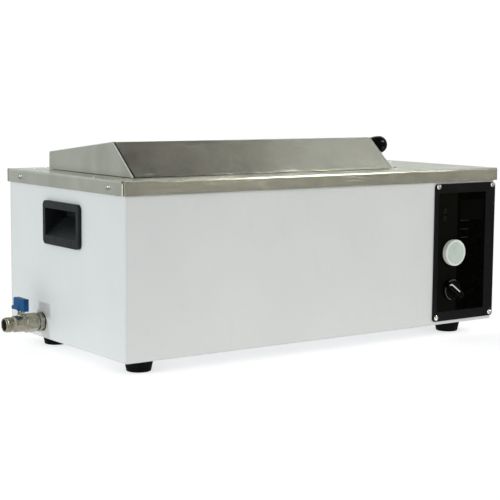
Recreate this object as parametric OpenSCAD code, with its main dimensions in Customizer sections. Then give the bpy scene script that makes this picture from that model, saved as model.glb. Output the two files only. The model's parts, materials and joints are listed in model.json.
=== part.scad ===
// Bench-top laboratory water bath: painted case, stainless top plate and tank, hinged
// hood, control panel and drain valve. Millimetres, +Z up, +X to the right along the
// front, front facing -Y. The origin is on the bench under the middle of the footprint.

/* [Case] */
// Length of the painted case, left to right
case_l = 644; // [620:1:680]
// Depth of the painted case, front to back
case_w = 324; // [316:1:350]
// Height of the case's underside above the bench
case_z = 21; // [18:1:24]
// Thickness of the painted sheet
case_t = 1.2; // [1:0.1:1.5]
// Outside radius of the case's upright front corners
case_r = 3; // [2:0.5:4]
// Width of the case's turned-in edges
lip_w = 15; // [12:1:16]

/* [Top plate] */
// Height of the top plate's upper face
top_z = 251; // [248:1:256]
// How far the top plate stands past the case
top_over = 3; // [2.5:0.5:4]
// Height of the plate's turned-down edge
edge_h = 18.5; // [16:0.5:22]
// Thickness of the stainless sheet
steel_t = 1; // [0.8:0.1:1.1]
// Outside radius of the sheet bends
bend_r = 2.5; // [1.6:0.1:2.6]
// Length left open at the front end of each side edge
corner_gap = 6; // [4:0.5:7]

/* [Tank] */
// Inside length of the tank
tank_l = 400; // [360:1:404]
// Inside width of the tank
tank_w = 196; // [160:1:200]
// Inside depth below the top plate's underside
tank_d = 160; // [140:1:165]
// Radius of the tank's upright corners
tank_r = 24; // [15:1:30]

/* [Lid] */
// Left end of the lid, from the middle of the case
lid_x0 = -283; // [-290:1:-280]
// Right end of the lid, from the middle of the case
lid_x1 = 158.5; // [155:0.5:160]
// Front of the lid, forwards from the middle of the case
lid_front = 114.5; // [112:0.5:116]
// Rear of the lid, back from the middle of the case
lid_back = 118; // [112:0.5:120]
// Front-to-back place of the lid's highest edge
apex_y = -63; // [-75:1:-50]
// Height of the lid's highest edge above the plate
apex_h = 45; // [40:1:50]
// Height of the lid's rear edge above the plate
rear_h = 25; // [22:0.5:28]
// Height of the lid's turned-down rear edge
rear_edge_h = 12; // [10:0.5:12]
// Gap between the lid and the plate
lid_gap = 0.6; // [0.5:0.1:2]

/* [Control panel] */
// Width of the black panel
panel_l = 122; // [110:1:123]
// Height of the black panel
panel_h = 204; // [196:1:205]
// Thickness of the black panel
panel_t = 2.5; // [2:0.1:3]
// Radius of the thermostat knob
dial_r = 19.5; // [16:0.5:21]
// Radius of the selector knob's skirt
selector_r = 16.2; // [13:0.1:17]
// Length of the selector knob's grip bar
bar_l = 37; // [32:1:40]
// Angle of the grip bar below level at rest
bar_angle = 36; // [30:1:45]

/* [Side handles] */
// Width of the handle's frame
grip_l = 100.5; // [94:0.5:104]
// Height of the handle's frame
grip_h = 59.5; // [54:0.5:60]
// How far the frame stands out from the case
grip_t = 5; // [4:0.5:6]

/* [Drain valve] */
// Place of the drain pipe behind the case's middle
valve_y = 67; // [60:1:72]
// Height of the drain pipe's axis
valve_z = 43; // [41:1:46]
// How far the valve's mouth stands out from the case
valve_reach = 58; // [56:1:62]
// Outside radius of the half-inch pipe thread
thread_r = 10.45; // [10.4:0.01:10.5]

/* [Hidden] */
$fn = 72;

eps = 0.01;
fit_gap = 0.05;
air_gap = 0.3;

// Case planes, measured from the middle of the case
side_x = case_l / 2;
front_y = -case_w / 2;
back_y = case_w / 2;
wrap_back = back_y - case_t;
wrap_top = top_z - steel_t - 0.2;
floor_z = case_z + 2 * case_t;

// Top plate planes
plate_x = side_x + top_over;
plate_y = back_y + top_over;
plate_under = top_z - steel_t;
edge_z = top_z - edge_h;

// Tank planes
tank_x = (lid_x0 + lid_x1) / 2;
tank_floor = plate_under - tank_d;
tank_right = tank_x + tank_l / 2;
rim_w = 12;
shelf_z = tank_floor + 30;
shelf_play = 6;

// Lid planes
lid_z = top_z + lid_gap;
lid_seam = 1.6;
hinge_r = 3.4;
hinge_t = 1.2;
rail_y = lid_back - 2 * steel_t - 0.1;
leaf_y = rail_y + steel_t + 0.05;
hinge_y = leaf_y + hinge_r;
hinge_z = top_z + hinge_r + fit_gap;
hinge_xs = [-205, 80];
hinge_l = 50;
knuckle_l = 24;
knuckle_gap = 0.4;
knob_y = -60;
knob_z = top_z + 33.4;
knob_r = 13;
knob_l = 20;
knob_neck_r = 9;

// Control panel places
panel_x1 = side_x;
panel_x0 = panel_x1 - panel_l;
panel_z0 = 26;
panel_z1 = panel_z0 + panel_h;
panel_y = front_y - panel_t;
overlay_t = 0.4;
overlay_y = panel_y - overlay_t;
overlay_x = [207.5, 302];
overlay_z = [40, 216];
dial_x = 234.6;
dial_z = 128;
selector_z = 72.5;
window_at = [274, 190];
window_size = [48, 30];
lamp_x = 217.5;
lamp_zs = [190, 179];
panel_screw_r = 4;
panel_screw_xs = [panel_x0 + 6.5, panel_x1 - 5.5];
panel_screw_zs = [panel_z0 + 5.5, panel_z1 - 4.2];
knob_y0 = overlay_y - 0.4;
dial_h = 8.6;
dial_groove = [2.8, 3.9];
selector_h = 12;

// Handle places
grip_y = 2;
grip_z = 184;
mouth = [87, 37.5];
mouth_up = 1;
pocket = [91, 46];
pocket_d = 26;
pocket_t = 2;

// Drain places, measured outwards from the case wall along the pipe
nut_r = 14;
drain_washer_r = 13;
ball_at = 32;
ball_r = 8.7;
ball_gap = 0.4;
seat_r = 6.9;
hex_from = 10;
round_from = 27;
thread_from = 47;
lip_from = 56;
bore_r = 7.8;
stem_r = 3;
boss_h = 13.6;
lever_z = 17.9;
lever_h = 17.4;
lever_l = 32;
lever_t = 8;
lug = [5.7, 6];
drain_x = -240;
elbow_r = 16;
tube_r = 9;

// Bulkhead and electrical places
bulkhead_x = 169;
heater_y = 25;
heater_z = tank_floor + 15;
heater_r = 4.2;
heater_x0 = -190;
probe_y = 62;
probe_z = tank_floor + 19;
inlet_x = 250;
inlet_z = 80;
fuse_z = inlet_z + 14.5;
foot_inset = 46.5;
foot_r = [16.2, 20.4];
foot_places = [for (sx = [-1, 1], sy = [-1, 1])
    [sx * (side_x - foot_inset), sy * (back_y - foot_inset)]];
edge_screw_y = 124;
edge_screw_z = top_z - edge_h / 2;
plate_screw_y = 97;
plate_screw_x = bulkhead_x + 11;

// The footprint's middle goes to the origin
reach_left = side_x + valve_reach;
reach_right = side_x + grip_t;
reach_front = -knob_y0 + selector_h;
reach_back = plate_y;
middle = [(reach_right - reach_left) / 2, (reach_back - reach_front) / 2];

// ---- helpers ----

function unit(v) = v / norm(v);
function right_of(v) = [v.y, -v.x];
function reversed(p) = [for (i = [len(p) - 1 : -1 : 0]) p[i]];
function line_meet(a, u, b, v) = a + u * cross(b - a, v) / cross(u, v);

// Rounded corner i of an outline that turns right, moved inwards by depth
function corner_arc(p, i, r, depth, steps = 6) =
    let (n1 = right_of(unit(p[i] - p[i - 1])), n2 = right_of(unit(p[i + 1] - p[i])))
    let (centre = p[i] + r * (n1 + n2) / (1 + n1 * n2))
    [for (k = [0 : steps]) centre - (r - depth) * unit((steps - k) * n1 + k * n2)];

// An open outline that turns right, with rounded bends, moved inwards by depth
function bent_line(p, r, depth) = concat(
    [p[0] + depth * right_of(unit(p[1] - p[0]))],
    [for (i = [1 : len(p) - 2]) each corner_arc(p, i, r, depth)],
    [p[len(p) - 1] + depth * right_of(unit(p[len(p) - 1] - p[len(p) - 2]))]
);

// A closed outline that turns right, moved inwards by depth
function inset(p, depth) = [for (i = [0 : len(p) - 1])
    let (n1 = right_of(unit(p[i] - p[(i + len(p) - 1) % len(p)])))
    let (n2 = right_of(unit(p[(i + 1) % len(p)] - p[i])))
    p[i] + depth * (n1 + n2) / (1 + n1 * n2)];

// Cross-section of a folded sheet whose outer corners are p
module folded(p, r = bend_r, t = steel_t) {
    polygon(concat(bent_line(p, r, 0), reversed(bent_line(p, r, t))));
}

// A (y, z) outline drawn out along X from x0 to x1
module along_x(x0, x1) {
    translate([x0, 0, 0]) rotate([90, 0, 90]) linear_extrude(x1 - x0) children();
}

// An (x, z) outline drawn out along Y from y0 to y1
module along_y(y0, y1) {
    translate([0, y1, 0]) rotate([90, 0, 0]) linear_extrude(y1 - y0) children();
}

// Children drawn on a point with +Z turned to face -Y, +Y, -X or +X
module facing_front(p) { translate(p) rotate([90, 0, 0]) children(); }
module facing_back(p) { translate(p) rotate([-90, 0, 0]) children(); }
module facing_left(p) { translate(p) rotate([0, -90, 0]) children(); }
module facing_right(p) { translate(p) rotate([0, 90, 0]) children(); }

module rounded_rect(l, w, r) {
    square([l - 2 * r, w], center = true);
    square([l, w - 2 * r], center = true);
    for (sx = [-1, 1], sy = [-1, 1]) translate([sx * (l / 2 - r), sy * (w / 2 - r)]) circle(r);
}

module ring(r_out, r_in, h) {
    difference() {
        cylinder(r = r_out, h = h);
        translate([0, 0, -eps]) cylinder(r = r_in, h = h + 2 * eps);
    }
}

// A hexagon nut with rounded-off bore, lying on z = 0
module hex_nut(r_out, r_in, h) {
    difference() {
        cylinder(r = r_out, h = h, $fn = 6);
        translate([0, 0, -eps]) cylinder(r = r_in, h = h + 2 * eps);
    }
}

// A cross-head screw with a domed head above z = 0 and its shank below
module dome_screw(head_r, head_h, shank_r, shank_l, cross = 0.5) {
    ball = (head_r * head_r + head_h * head_h) / (2 * head_h);
    arm = head_r * cross;
    difference() {
        intersection() {
            translate([0, 0, head_h - ball]) sphere(ball);
            cylinder(r = head_r, h = head_h);
        }
        for (a = [0, 90]) rotate([0, 0, a])
            translate([-arm, -arm / 5, head_h * 0.45]) cube([2 * arm, 2 * arm / 5, head_h]);
    }
    translate([0, 0, -shank_l]) cylinder(r = shank_r, h = shank_l + head_h * 0.3);
}

// A round lead along a list of points
module lead(points, r) {
    for (i = [0 : len(points) - 2]) hull() {
        translate(points[i]) sphere(r, $fn = 8);
        translate(points[i + 1]) sphere(r, $fn = 8);
    }
}

// Everything is drawn about the case's middle and then moved to the origin
module placed() { translate([-middle.x, -middle.y, 0]) children(); }

// ---- case ----

module case_plan(depth) {
    x = side_x - depth;
    r = case_r - depth;
    translate([-x, front_y + case_r]) square([2 * x, wrap_back - depth - front_y - case_r]);
    translate([-x + r, front_y + depth]) square([2 * (x - r), r + eps]);
    for (s = [-1, 1]) translate([s * (x - r), front_y + case_r]) circle(r);
}

module case_lip(z) {
    inner_x = side_x - lip_w;
    translate([0, 0, z]) linear_extrude(case_t) difference() {
        case_plan(0);
        translate([-inner_x, front_y + lip_w]) square([2 * inner_x, case_w]);
    }
}

module panel_screw_places() {
    for (x = panel_screw_xs, z = panel_screw_zs) facing_front([x, panel_y, z]) children();
}

module rear_screw_places() {
    for (s = [-1, 1], z = [45, 135, 225])
        facing_back([s * (side_x - lip_w / 2), back_y, z]) children();
}

module edge_screw_places() {
    for (y = [-edge_screw_y, edge_screw_y]) {
        facing_left([-plate_x, y, edge_screw_z]) children();
        facing_right([plate_x, y, edge_screw_z]) children();
    }
}

module case_wrap() color("white") placed() difference() {
    union() {
        translate([0, 0, case_z]) linear_extrude(wrap_top - case_z) difference() {
            case_plan(0);
            case_plan(case_t);
            translate([-side_x + lip_w, 0]) square([2 * (side_x - lip_w), case_w]);
        }
        case_lip(case_z);
        case_lip(wrap_top - case_t);
    }
    for (s = [-1, 1]) translate([s * side_x, grip_y, grip_z])
        cube([4 * lip_w / 5, pocket.x + 1, pocket.y + 1], center = true);
    facing_left([-side_x + 3, valve_y, valve_z]) cylinder(r = thread_r + 0.5, h = 6);
    facing_front([dial_x, front_y + 4, dial_z]) cylinder(r = 24, h = 8);
    facing_front([dial_x, front_y + 4, selector_z]) cylinder(r = 21, h = 8);
    for (z = lamp_zs) facing_front([lamp_x, front_y + 4, z]) cylinder(r = 5, h = 8);
    translate([window_at.x, front_y, window_at.y])
        cube([window_size.x + 6, 8, window_size.y + 6], center = true);
    panel_screw_places() translate([0, 0, -8]) cylinder(r = 1.9 + fit_gap, h = 16);
    rear_screw_places() translate([0, 0, -8]) cylinder(r = 1.5 + fit_gap, h = 16);
    edge_screw_places() translate([0, 0, -8]) cylinder(r = 1.5 + fit_gap, h = 16);
}

module rear_panel() color("white") placed() difference() {
    translate([-side_x, wrap_back, case_z + 1]) cube([case_l, case_t, wrap_top - case_z - 2]);
    for (x = [190 : 30 : 280], z = [150 : 9 : 222])
        translate([x, wrap_back - 1, z]) cube([22, 4, 3.5]);
    for (x = [-280 : 30 : -100], z = [32, 41])
        translate([x, wrap_back - 1, z]) cube([22, 4, 3.5]);
    translate([inlet_x, back_y, (inlet_z + fuse_z) / 2]) cube([29, 8, 34], center = true);
    rear_screw_places() translate([0, 0, -8]) cylinder(r = 1.6, h = 16);
}

module rear_screws() color("silver") placed() rear_screw_places() dome_screw(3, 1.8, 1.5, 7);

module base_plate() color("gainsboro") placed() difference() {
    translate([0, 0, case_z + case_t]) linear_extrude(case_t) case_plan(case_t + air_gap);
    for (p = foot_places) translate([p.x, p.y, 0]) cylinder(r = 2.7, h = 60);
    for (x = [190 : 14 : 260], y = [-70, 10])
        translate([x, y, case_z]) cube([5, 60, 8]);
}

module foot_shape() difference() {
    cylinder(r1 = foot_r[0], r2 = foot_r[1], h = case_z + case_t);
    translate([0, 0, -eps]) cylinder(r = 6.5, h = 12);
    cylinder(r = 2.6, h = 60);
}

module feet() color("#151515") placed() for (p = foot_places) translate([p.x, p.y, 0]) foot_shape();

module foot_screws() color("silver") placed() for (p = foot_places)
    translate([p.x, p.y, 12 - eps]) mirror([0, 0, 1]) dome_screw(4.8, 2.6, 2.45, 20);

module foot_nuts() color("silver") placed() for (p = foot_places)
    translate([p.x, p.y, floor_z]) hex_nut(4.6, 2.5, 4);

// ---- top plate and tank ----

module side_edge() {
    curl_r = 2.5;
    start = -plate_y + corner_gap + curl_r;
    end = plate_y - bend_r;
    along_y(start, end)
        folded([[-plate_x, edge_z], [-plate_x, top_z], [-plate_x + 3 * bend_r, top_z]]);
    translate([-plate_x + curl_r, start, edge_z]) linear_extrude(edge_h - bend_r) intersection() {
        difference() {
            circle(curl_r);
            circle(curl_r - steel_t);
        }
        translate([-curl_r, -curl_r]) square([curl_r, curl_r + eps]);
    }
}

module hinge_screw_places() {
    for (x = hinge_xs, s = [-1, 1])
        translate([x + s * 16, hinge_y + 15, top_z + hinge_t + fit_gap]) children();
}

module plate_screw_places() {
    for (s = [-1, 1]) translate([plate_screw_x, s * plate_screw_y, top_z]) children();
}

module top_plate() color("lightsteelblue") placed() difference() {
    union() {
        difference() {
            along_x(-plate_x, plate_x) folded([
                [-plate_y, edge_z], [-plate_y, top_z], [plate_y, top_z], [plate_y, edge_z]]);
            for (s = [-1, 1]) translate([s * plate_x, 0, top_z])
                cube([2 * bend_r, 2 * (plate_y - bend_r), 8], center = true);
        }
        side_edge();
        mirror([1, 0, 0]) side_edge();
    }
    translate([tank_x, 0, top_z - 5]) linear_extrude(10) rounded_rect(tank_l, tank_w, tank_r);
    edge_screw_places() translate([0, 0, -8]) cylinder(r = 1.6, h = 16);
    hinge_screw_places() translate([0, 0, -8]) cylinder(r = 1.5 + fit_gap, h = 16);
    plate_screw_places() translate([0, 0, -8]) cylinder(r = 1.6, h = 16);
}

module side_edge_screws() color("silver") placed() edge_screw_places() dome_screw(4.6, 2.6, 1.5, 9, cross = 0.2);

module plate_screws() color("dimgray") placed() plate_screw_places() dome_screw(2.7, 1.2, 1.5, 7);

module tank() color("silver") placed() translate([tank_x, 0, 0]) difference() {
    union() {
        translate([0, 0, tank_floor - steel_t]) linear_extrude(tank_d + steel_t - 0.1)
            rounded_rect(tank_l + 2 * steel_t, tank_w + 2 * steel_t, tank_r + steel_t);
        translate([0, 0, plate_under - steel_t]) linear_extrude(steel_t - 0.05)
            rounded_rect(tank_l + 2 * rim_w, tank_w + 2 * rim_w, tank_r + rim_w);
    }
    translate([0, 0, tank_floor]) linear_extrude(tank_d + 1) rounded_rect(tank_l, tank_w, tank_r);
    translate([drain_x - tank_x, valve_y, tank_floor - 5]) cylinder(r = bore_r + 0.3, h = 10);
    for (s = [-1, 1]) facing_right([tank_l / 2 - 4, s * heater_y, heater_z]) cylinder(r = 5.2, h = 8);
    facing_right([tank_l / 2 - 4, probe_y, probe_z]) cylinder(r = 4.2, h = 8);
}

module tank_insulation() color("khaki") placed() translate([tank_x, 0, 0]) difference() {
    wool = 15;
    bottom = tank_floor - steel_t - wool;
    play = steel_t + 0.4;
    translate([0, 0, bottom]) linear_extrude(plate_under - steel_t - 0.3 - bottom)
        rounded_rect(tank_l + 2 * (play + wool), tank_w + 2 * (play + wool), tank_r + play);
    translate([0, 0, tank_floor - play]) linear_extrude(tank_d + 9)
        rounded_rect(tank_l + 2 * play, tank_w + 2 * play, tank_r + play);
    translate([drain_x - tank_x, valve_y, bottom - 1]) cylinder(r = 16, h = wool + 9);
    translate([tank_l / 2, -heater_y - 20, heater_z - 14])
        cube([wool + 9, probe_y + heater_y + 34, 34]);
}

module perforated_shelf() color("silver") placed() translate([tank_x, 0, 0]) difference() {
    l = tank_l - 2 * shelf_play;
    w = tank_w - 2 * shelf_play;
    r = tank_r - shelf_play;
    leg_l = w - 2 * r;
    union() {
        translate([0, 0, shelf_z]) linear_extrude(steel_t) rounded_rect(l, w, r);
        for (s = [-1, 1]) translate([s * (l / 2 - 12), 0, tank_floor + (shelf_z - tank_floor) / 2 + 0.1])
            cube([steel_t, leg_l, shelf_z - tank_floor], center = true);
    }
    for (x = [-l / 2 + 27 : 23 : l / 2 - 20], y = [-69 : 23 : 69])
        translate([x, y, shelf_z - 1]) cylinder(r = 5, h = 4);
    for (s = [-1, 1]) translate([l / 2 - 12, s * heater_y, tank_floor + 11])
        cube([6, 16, 24], center = true);
    translate([l / 2 - 12, probe_y, tank_floor + 13]) cube([6, 18, 28], center = true);
}

// ---- heating and sensing ----

module heater_element() color("slategray") placed() {
    end_x = tank_right + 12;
    for (s = [-1, 1]) {
        facing_right([heater_x0, s * heater_y, heater_z]) cylinder(r = heater_r, h = end_x - heater_x0);
        facing_right([end_x, s * heater_y, heater_z]) cylinder(r = 1.6, h = 9);
    }
    translate([heater_x0, 0, heater_z]) rotate([0, 0, 90]) rotate_extrude(angle = 180)
        translate([heater_y, 0]) circle(heater_r);
}

// A gland through the tank's right wall: collar inside, hexagon outside
module wall_gland(y, z, sleeve_r, hex_r, bore) {
    difference() {
        union() {
            facing_right([tank_right - 3 - fit_gap, y, z]) cylinder(r = hex_r * 0.9, h = 3);
            facing_right([tank_right - 1, y, z]) cylinder(r = sleeve_r, h = 4);
            facing_right([tank_right + steel_t + fit_gap, y, z]) cylinder(r = hex_r, h = 6, $fn = 6);
        }
        facing_right([tank_right - 9, y, z]) cylinder(r = bore, h = 30);
    }
}

module heater_glands() color("goldenrod") placed() for (s = [-1, 1])
    wall_gland(s * heater_y, heater_z, 5.1, 10.5, heater_r + fit_gap);

module probe_gland() color("goldenrod") placed() wall_gland(probe_y, probe_z, 4.1, 8.5, 1.35);

module probe_bulb() color("silver") placed() facing_right([tank_right - 110, probe_y, probe_z]) {
    cylinder(r = 3.2, h = 98);
    sphere(3.2);
}

module capillary_tube() color("peru") placed() lead([
    [tank_right - 10.6, probe_y, probe_z], [tank_right + 14, probe_y, probe_z],
    [161, 61, 110], [168, 58, 112], [182, 50, 114], [205, 10, 120],
    [216, -60, 126], [226, -110, 128], [dial_x, -134.5, dial_z]], 1.2);

module bulkhead() color("gainsboro") placed() difference() {
    top = plate_under - 0.1;
    union() {
        translate([bulkhead_x, -146, floor_z + 0.1]) cube([steel_t, 292, top - floor_z - 0.1]);
        translate([bulkhead_x, -120, top - steel_t]) cube([20, 240, steel_t]);
    }
    translate([bulkhead_x, 60, 113]) cube([8, 34, 34], center = true);
    translate([bulkhead_x, -60, 60]) cube([8, 24, 24], center = true);
    plate_screw_places() translate([0, 0, -8]) cylinder(r = 1.5 + fit_gap, h = 16);
}

// ---- lid ----

roof_points = [[-lid_front, lid_z + steel_t], [apex_y, top_z + apex_h],
    [lid_back, top_z + rear_h], [lid_back, top_z + rear_h - rear_edge_h]];

// Outline of an end panel, gap inside the roof's outer face
function cap_points(gap) =
    let (u1 = unit(roof_points[1] - roof_points[0]), u2 = unit(roof_points[2] - roof_points[1]))
    let (a = roof_points[0] + gap * right_of(u1), b = roof_points[1] + gap * right_of(u2))
    [line_meet(a, u1, [0, lid_z], [1, 0]), line_meet(a, u1, b, u2),
     line_meet(b, u2, [rail_y - 0.1, 0], [0, 1]), [rail_y - 0.1, lid_z]];

module lid_roof() color("lightgray") placed()
    along_x(lid_x0 + steel_t + lid_seam, lid_x1 - steel_t - lid_seam) folded(roof_points);

// An end panel with its face at x = 0: a plate flush with the roof and a rim under the roof
module end_pan() {
    rim = 12;
    under = cap_points(steel_t + air_gap);
    along_x(0, steel_t) polygon(cap_points(0));
    difference() {
        along_x(steel_t - eps, rim) polygon(under);
        along_x(steel_t - 2 * eps, rim + 1) polygon(inset(under, steel_t));
    }
}

module lid_end_left() color("silver") placed() translate([lid_x0, 0, 0]) end_pan();

module lid_end_right() color("silver") placed() difference() {
    translate([lid_x1, 0, 0]) mirror([1, 0, 0]) end_pan();
    facing_right([lid_x1 - 9, knob_y, knob_z]) cylinder(r = 3.1, h = 20);
}

module hinge_lid_screw_places() {
    for (x = hinge_xs, s = [-1, 1])
        facing_back([x + s * 18, leaf_y + hinge_t, hinge_z + hinge_r + 3.2]) children();
}

module lid_back_rail() color("silver") placed() difference() {
    translate([lid_x0 + 0.2, rail_y, lid_z + 0.5])
        cube([lid_x1 - lid_x0 - 0.4, steel_t, rear_h - lid_gap - 3]);
    hinge_lid_screw_places() translate([0, 0, -8]) cylinder(r = 1.3 + fit_gap, h = 16);
}

module lid_bumpers() color("#202020") placed() for (x = [lid_x0 + 6, lid_x1 - 6])
    translate([x, apex_y - 35, top_z + 0.15]) cylinder(r = 4, h = lid_gap - 0.15);

module lid_knob() color("black") placed() facing_right([lid_x1 + fit_gap, knob_y, knob_z])
    difference() {
        union() {
            cylinder(r = knob_neck_r, h = 2);
            translate([0, 0, 1]) cylinder(r = knob_r, h = knob_l - 1);
            intersection() {
                translate([0, 0, knob_l]) sphere(knob_r);
                cylinder(r = knob_r + 1, h = 60);
            }
        }
        translate([0, 0, -eps]) cylinder(r = 3 + fit_gap, h = 15);
    }

module lid_knob_screw() color("silver") placed() facing_left([lid_x1 - steel_t - fit_gap, knob_y, knob_z]) {
    ring(6, 3, 1.2);
    translate([0, 0, 1.2 - eps]) dome_screw(5, 3, 3, 15);
}

// One hinge knuckle stretch, centred on x
module knuckle(x, l) {
    facing_right([x - l / 2, hinge_y, hinge_z]) ring(hinge_r, 1.5 + 0.06, l);
}

module hinge_fixed_leaves() color("silver") placed() for (x = hinge_xs) difference() {
    outer_l = (hinge_l - knuckle_l) / 2 - knuckle_gap;
    union() {
        for (s = [-1, 1]) {
            knuckle(x + s * (hinge_l - outer_l) / 2, outer_l);
            translate([x + s * (hinge_l - outer_l) / 2 - outer_l / 2, hinge_y, top_z + fit_gap])
                cube([outer_l, 26, hinge_t]);
        }
        translate([x - hinge_l / 2, hinge_y + hinge_r + 0.6, top_z + fit_gap])
            cube([hinge_l, 22, hinge_t]);
    }
    facing_right([x - hinge_l, hinge_y, hinge_z]) cylinder(r = 1.56, h = 2 * hinge_l);
    hinge_screw_places() translate([0, 0, -8]) cylinder(r = 1.6, h = 16);
}

module hinge_moving_leaves() color("silver") placed() for (x = hinge_xs) difference() {
    leaf_top = top_z + rear_h - rear_edge_h - 0.6;
    union() {
        knuckle(x, knuckle_l);
        translate([x - knuckle_l / 2, leaf_y, hinge_z]) cube([knuckle_l, hinge_t, leaf_top - hinge_z]);
        translate([x - hinge_l / 2, leaf_y, hinge_z + hinge_r + 0.5])
            cube([hinge_l, hinge_t, leaf_top - hinge_z - hinge_r - 0.5]);
    }
    facing_right([x - hinge_l, hinge_y, hinge_z]) cylinder(r = 1.56, h = 2 * hinge_l);
    hinge_lid_screw_places() translate([0, 0, -8]) cylinder(r = 1.4, h = 16);
}

module hinge_pins() color("gray") placed() for (x = hinge_xs) {
    facing_right([x - hinge_l / 2 - 0.1, hinge_y, hinge_z]) cylinder(r = 1.5, h = hinge_l + 0.2);
    for (s = [-1, 1]) facing_right([x + s * (hinge_l / 2 + 0.7) - 0.6, hinge_y, hinge_z])
        cylinder(r = 2.3, h = 1.2);
}

module hinge_plate_screws() color("silver") placed() hinge_screw_places() dome_screw(2.8, 1.2, 1.5, 7);

module hinge_lid_screws() color("silver") placed() hinge_lid_screw_places() dome_screw(2, 1, 1.3, 5);

// ---- control panel ----

module panel_holes(extra) {
    facing_front([dial_x, front_y + 1, dial_z]) cylinder(r = 5 + extra, h = 9);
    facing_front([dial_x, front_y + 1, selector_z]) cylinder(r = 5 + extra, h = 9);
    for (z = lamp_zs) facing_front([lamp_x, front_y + 1, z]) cylinder(r = 3.6 + extra / 4, h = 9);
    translate([window_at.x, panel_y, window_at.y])
        cube([window_size.x + 0.4, 12, window_size.y + 0.4], center = true);
}

module control_panel() color("#101012") placed() difference() {
    along_y(panel_y, front_y) translate([(panel_x0 + panel_x1) / 2, (panel_z0 + panel_z1) / 2])
        rounded_rect(panel_l, panel_h, 5);
    panel_holes(0);
    panel_screw_places() translate([0, 0, -8]) cylinder(r = 2, h = 16);
}

module panel_overlay() color("#050505") placed() difference() {
    translate([overlay_x[0], overlay_y, overlay_z[0]])
        cube([overlay_x[1] - overlay_x[0], overlay_t, overlay_z[1] - overlay_z[0]]);
    panel_holes(3);
}

module display_window() color("#200505") placed()
    translate([window_at.x, (overlay_y + front_y) / 2, window_at.y])
        cube([window_size.x, front_y - overlay_y - 0.1, window_size.y], center = true);

module display_board() color("darkgreen") placed() {
    translate([window_at.x, front_y + 9, window_at.y])
        cube([window_size.x, 1.6, window_size.y], center = true);
    for (k = [-1 : 1]) translate([window_at.x + k * 14, front_y + 4.7, window_at.y])
        cube([13, 7, 19], center = true);
}

module indicator_lamps() color("darkred") placed() for (z = lamp_zs) {
    facing_front([lamp_x, overlay_y - fit_gap, z]) cylinder(r = 4.6, h = 1);
    facing_front([lamp_x, overlay_y - fit_gap, z]) intersection() {
        translate([0, 0, 1 - 2.2]) sphere(4);
        cylinder(r = 4, h = 3);
    }
    facing_front([lamp_x, front_y + 12, z]) cylinder(r = 3.5, h = 12 + panel_t + overlay_t + 0.5);
}

module panel_screws() color("white") placed() panel_screw_places()
    translate([0, 0, fit_gap]) dome_screw(panel_screw_r, 2.2, 1.9, 8);

module thermostat_knob() color("#dfe6e0") placed() facing_front([dial_x, knob_y0, dial_z]) difference() {
    union() {
        cylinder(r = dial_r - 0.5, h = dial_groove.x);
        cylinder(r = dial_r - 2, h = dial_groove.y + 0.5);
        translate([0, 0, dial_groove.y]) cylinder(r = dial_r, h = dial_h - dial_groove.y);
    }
    translate([0, 0, dial_h - 0.6]) cylinder(r = dial_r - 3, h = 2);
    translate([0, 0, -eps]) cylinder(r = 3 + fit_gap, h = 6);
}

module thermostat_shaft() color("silver") placed()
    facing_front([dial_x, front_y + 3, dial_z]) cylinder(r = 3, h = -knob_y0 + front_y + 3 + 5.5);

module thermostat_body() color("tan") placed() difference() {
    union() {
        facing_back([dial_x, front_y + 0.1, dial_z]) cylinder(r = 21, h = 26);
        facing_front([dial_x, front_y + 1, dial_z]) cylinder(r = 4.8, h = 1 + panel_t + overlay_t);
        for (s = [-1, 1]) translate([dial_x + s * 10, front_y + 30, dial_z - 8])
            cube([6, 10, 0.8], center = true);
    }
    facing_front([dial_x, front_y + 4, dial_z]) cylinder(r = 3 + fit_gap, h = 12);
}

module selector_knob() color("black") placed() facing_front([dial_x, knob_y0, selector_z]) difference() {
    union() {
        cylinder(r = selector_r, h = 4);
        rotate([0, 0, -bar_angle]) linear_extrude(selector_h) rounded_rect(bar_l, 9, 4.4);
    }
    translate([0, 0, -eps]) cylinder(r = 3 + fit_gap, h = 8);
}

module selector_shaft() color("silver") placed()
    facing_front([dial_x, front_y + 3, selector_z]) cylinder(r = 3, h = -knob_y0 + front_y + 3 + 7.5);

module selector_switch() color("ivory") placed() difference() {
    union() {
        translate([dial_x - 14, front_y + 0.1, selector_z - 14]) cube([28, 30, 28]);
        facing_front([dial_x, front_y + 1, selector_z]) cylinder(r = 4.8, h = 1 + panel_t + overlay_t);
        for (s = [-1, 1]) translate([dial_x + s * 8, front_y + 34, selector_z])
            cube([6, 10, 0.8], center = true);
    }
    facing_front([dial_x, front_y + 4, selector_z]) cylinder(r = 3 + fit_gap, h = 12);
}

// ---- side handles ----

// A recessed grip: frame outside the wall x = 0, pocket inside towards +X
module recessed_grip() {
    sill = mouth_up - mouth.y / 2;
    lip = mouth_up + mouth.y / 2;
    deep = pocket_d + case_t;
    difference() {
        union() {
            translate([-grip_t, 0, 0]) rotate([90, 0, 90]) linear_extrude(grip_t - fit_gap)
                rounded_rect(grip_l, grip_h, 7);
            translate([-1, -pocket.x / 2, -pocket.y / 2]) cube([deep + 1, pocket.x, pocket.y]);
        }
        along_y(-mouth.x / 2, mouth.x / 2) polygon([
            [-grip_t - 1, sill], [-grip_t + 1, sill], [deep - pocket_t, 8],
            [deep - pocket_t, pocket.y / 2 - pocket_t], [3, pocket.y / 2 - pocket_t],
            [3, lip], [-grip_t - 1, lip]]);
        along_y(-pocket.x, pocket.x) polygon([
            [2, sill - 3], [deep + 1, 8 - pocket_t], [deep + 1, -pocket.y], [2, -pocket.y]]);
    }
}

module handle_left() color("#232426") placed() translate([-side_x, grip_y, grip_z]) recessed_grip();

module handle_right() color("#232426") placed() translate([side_x, grip_y, grip_z])
    mirror([1, 0, 0]) recessed_grip();

// ---- drain ----

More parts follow.
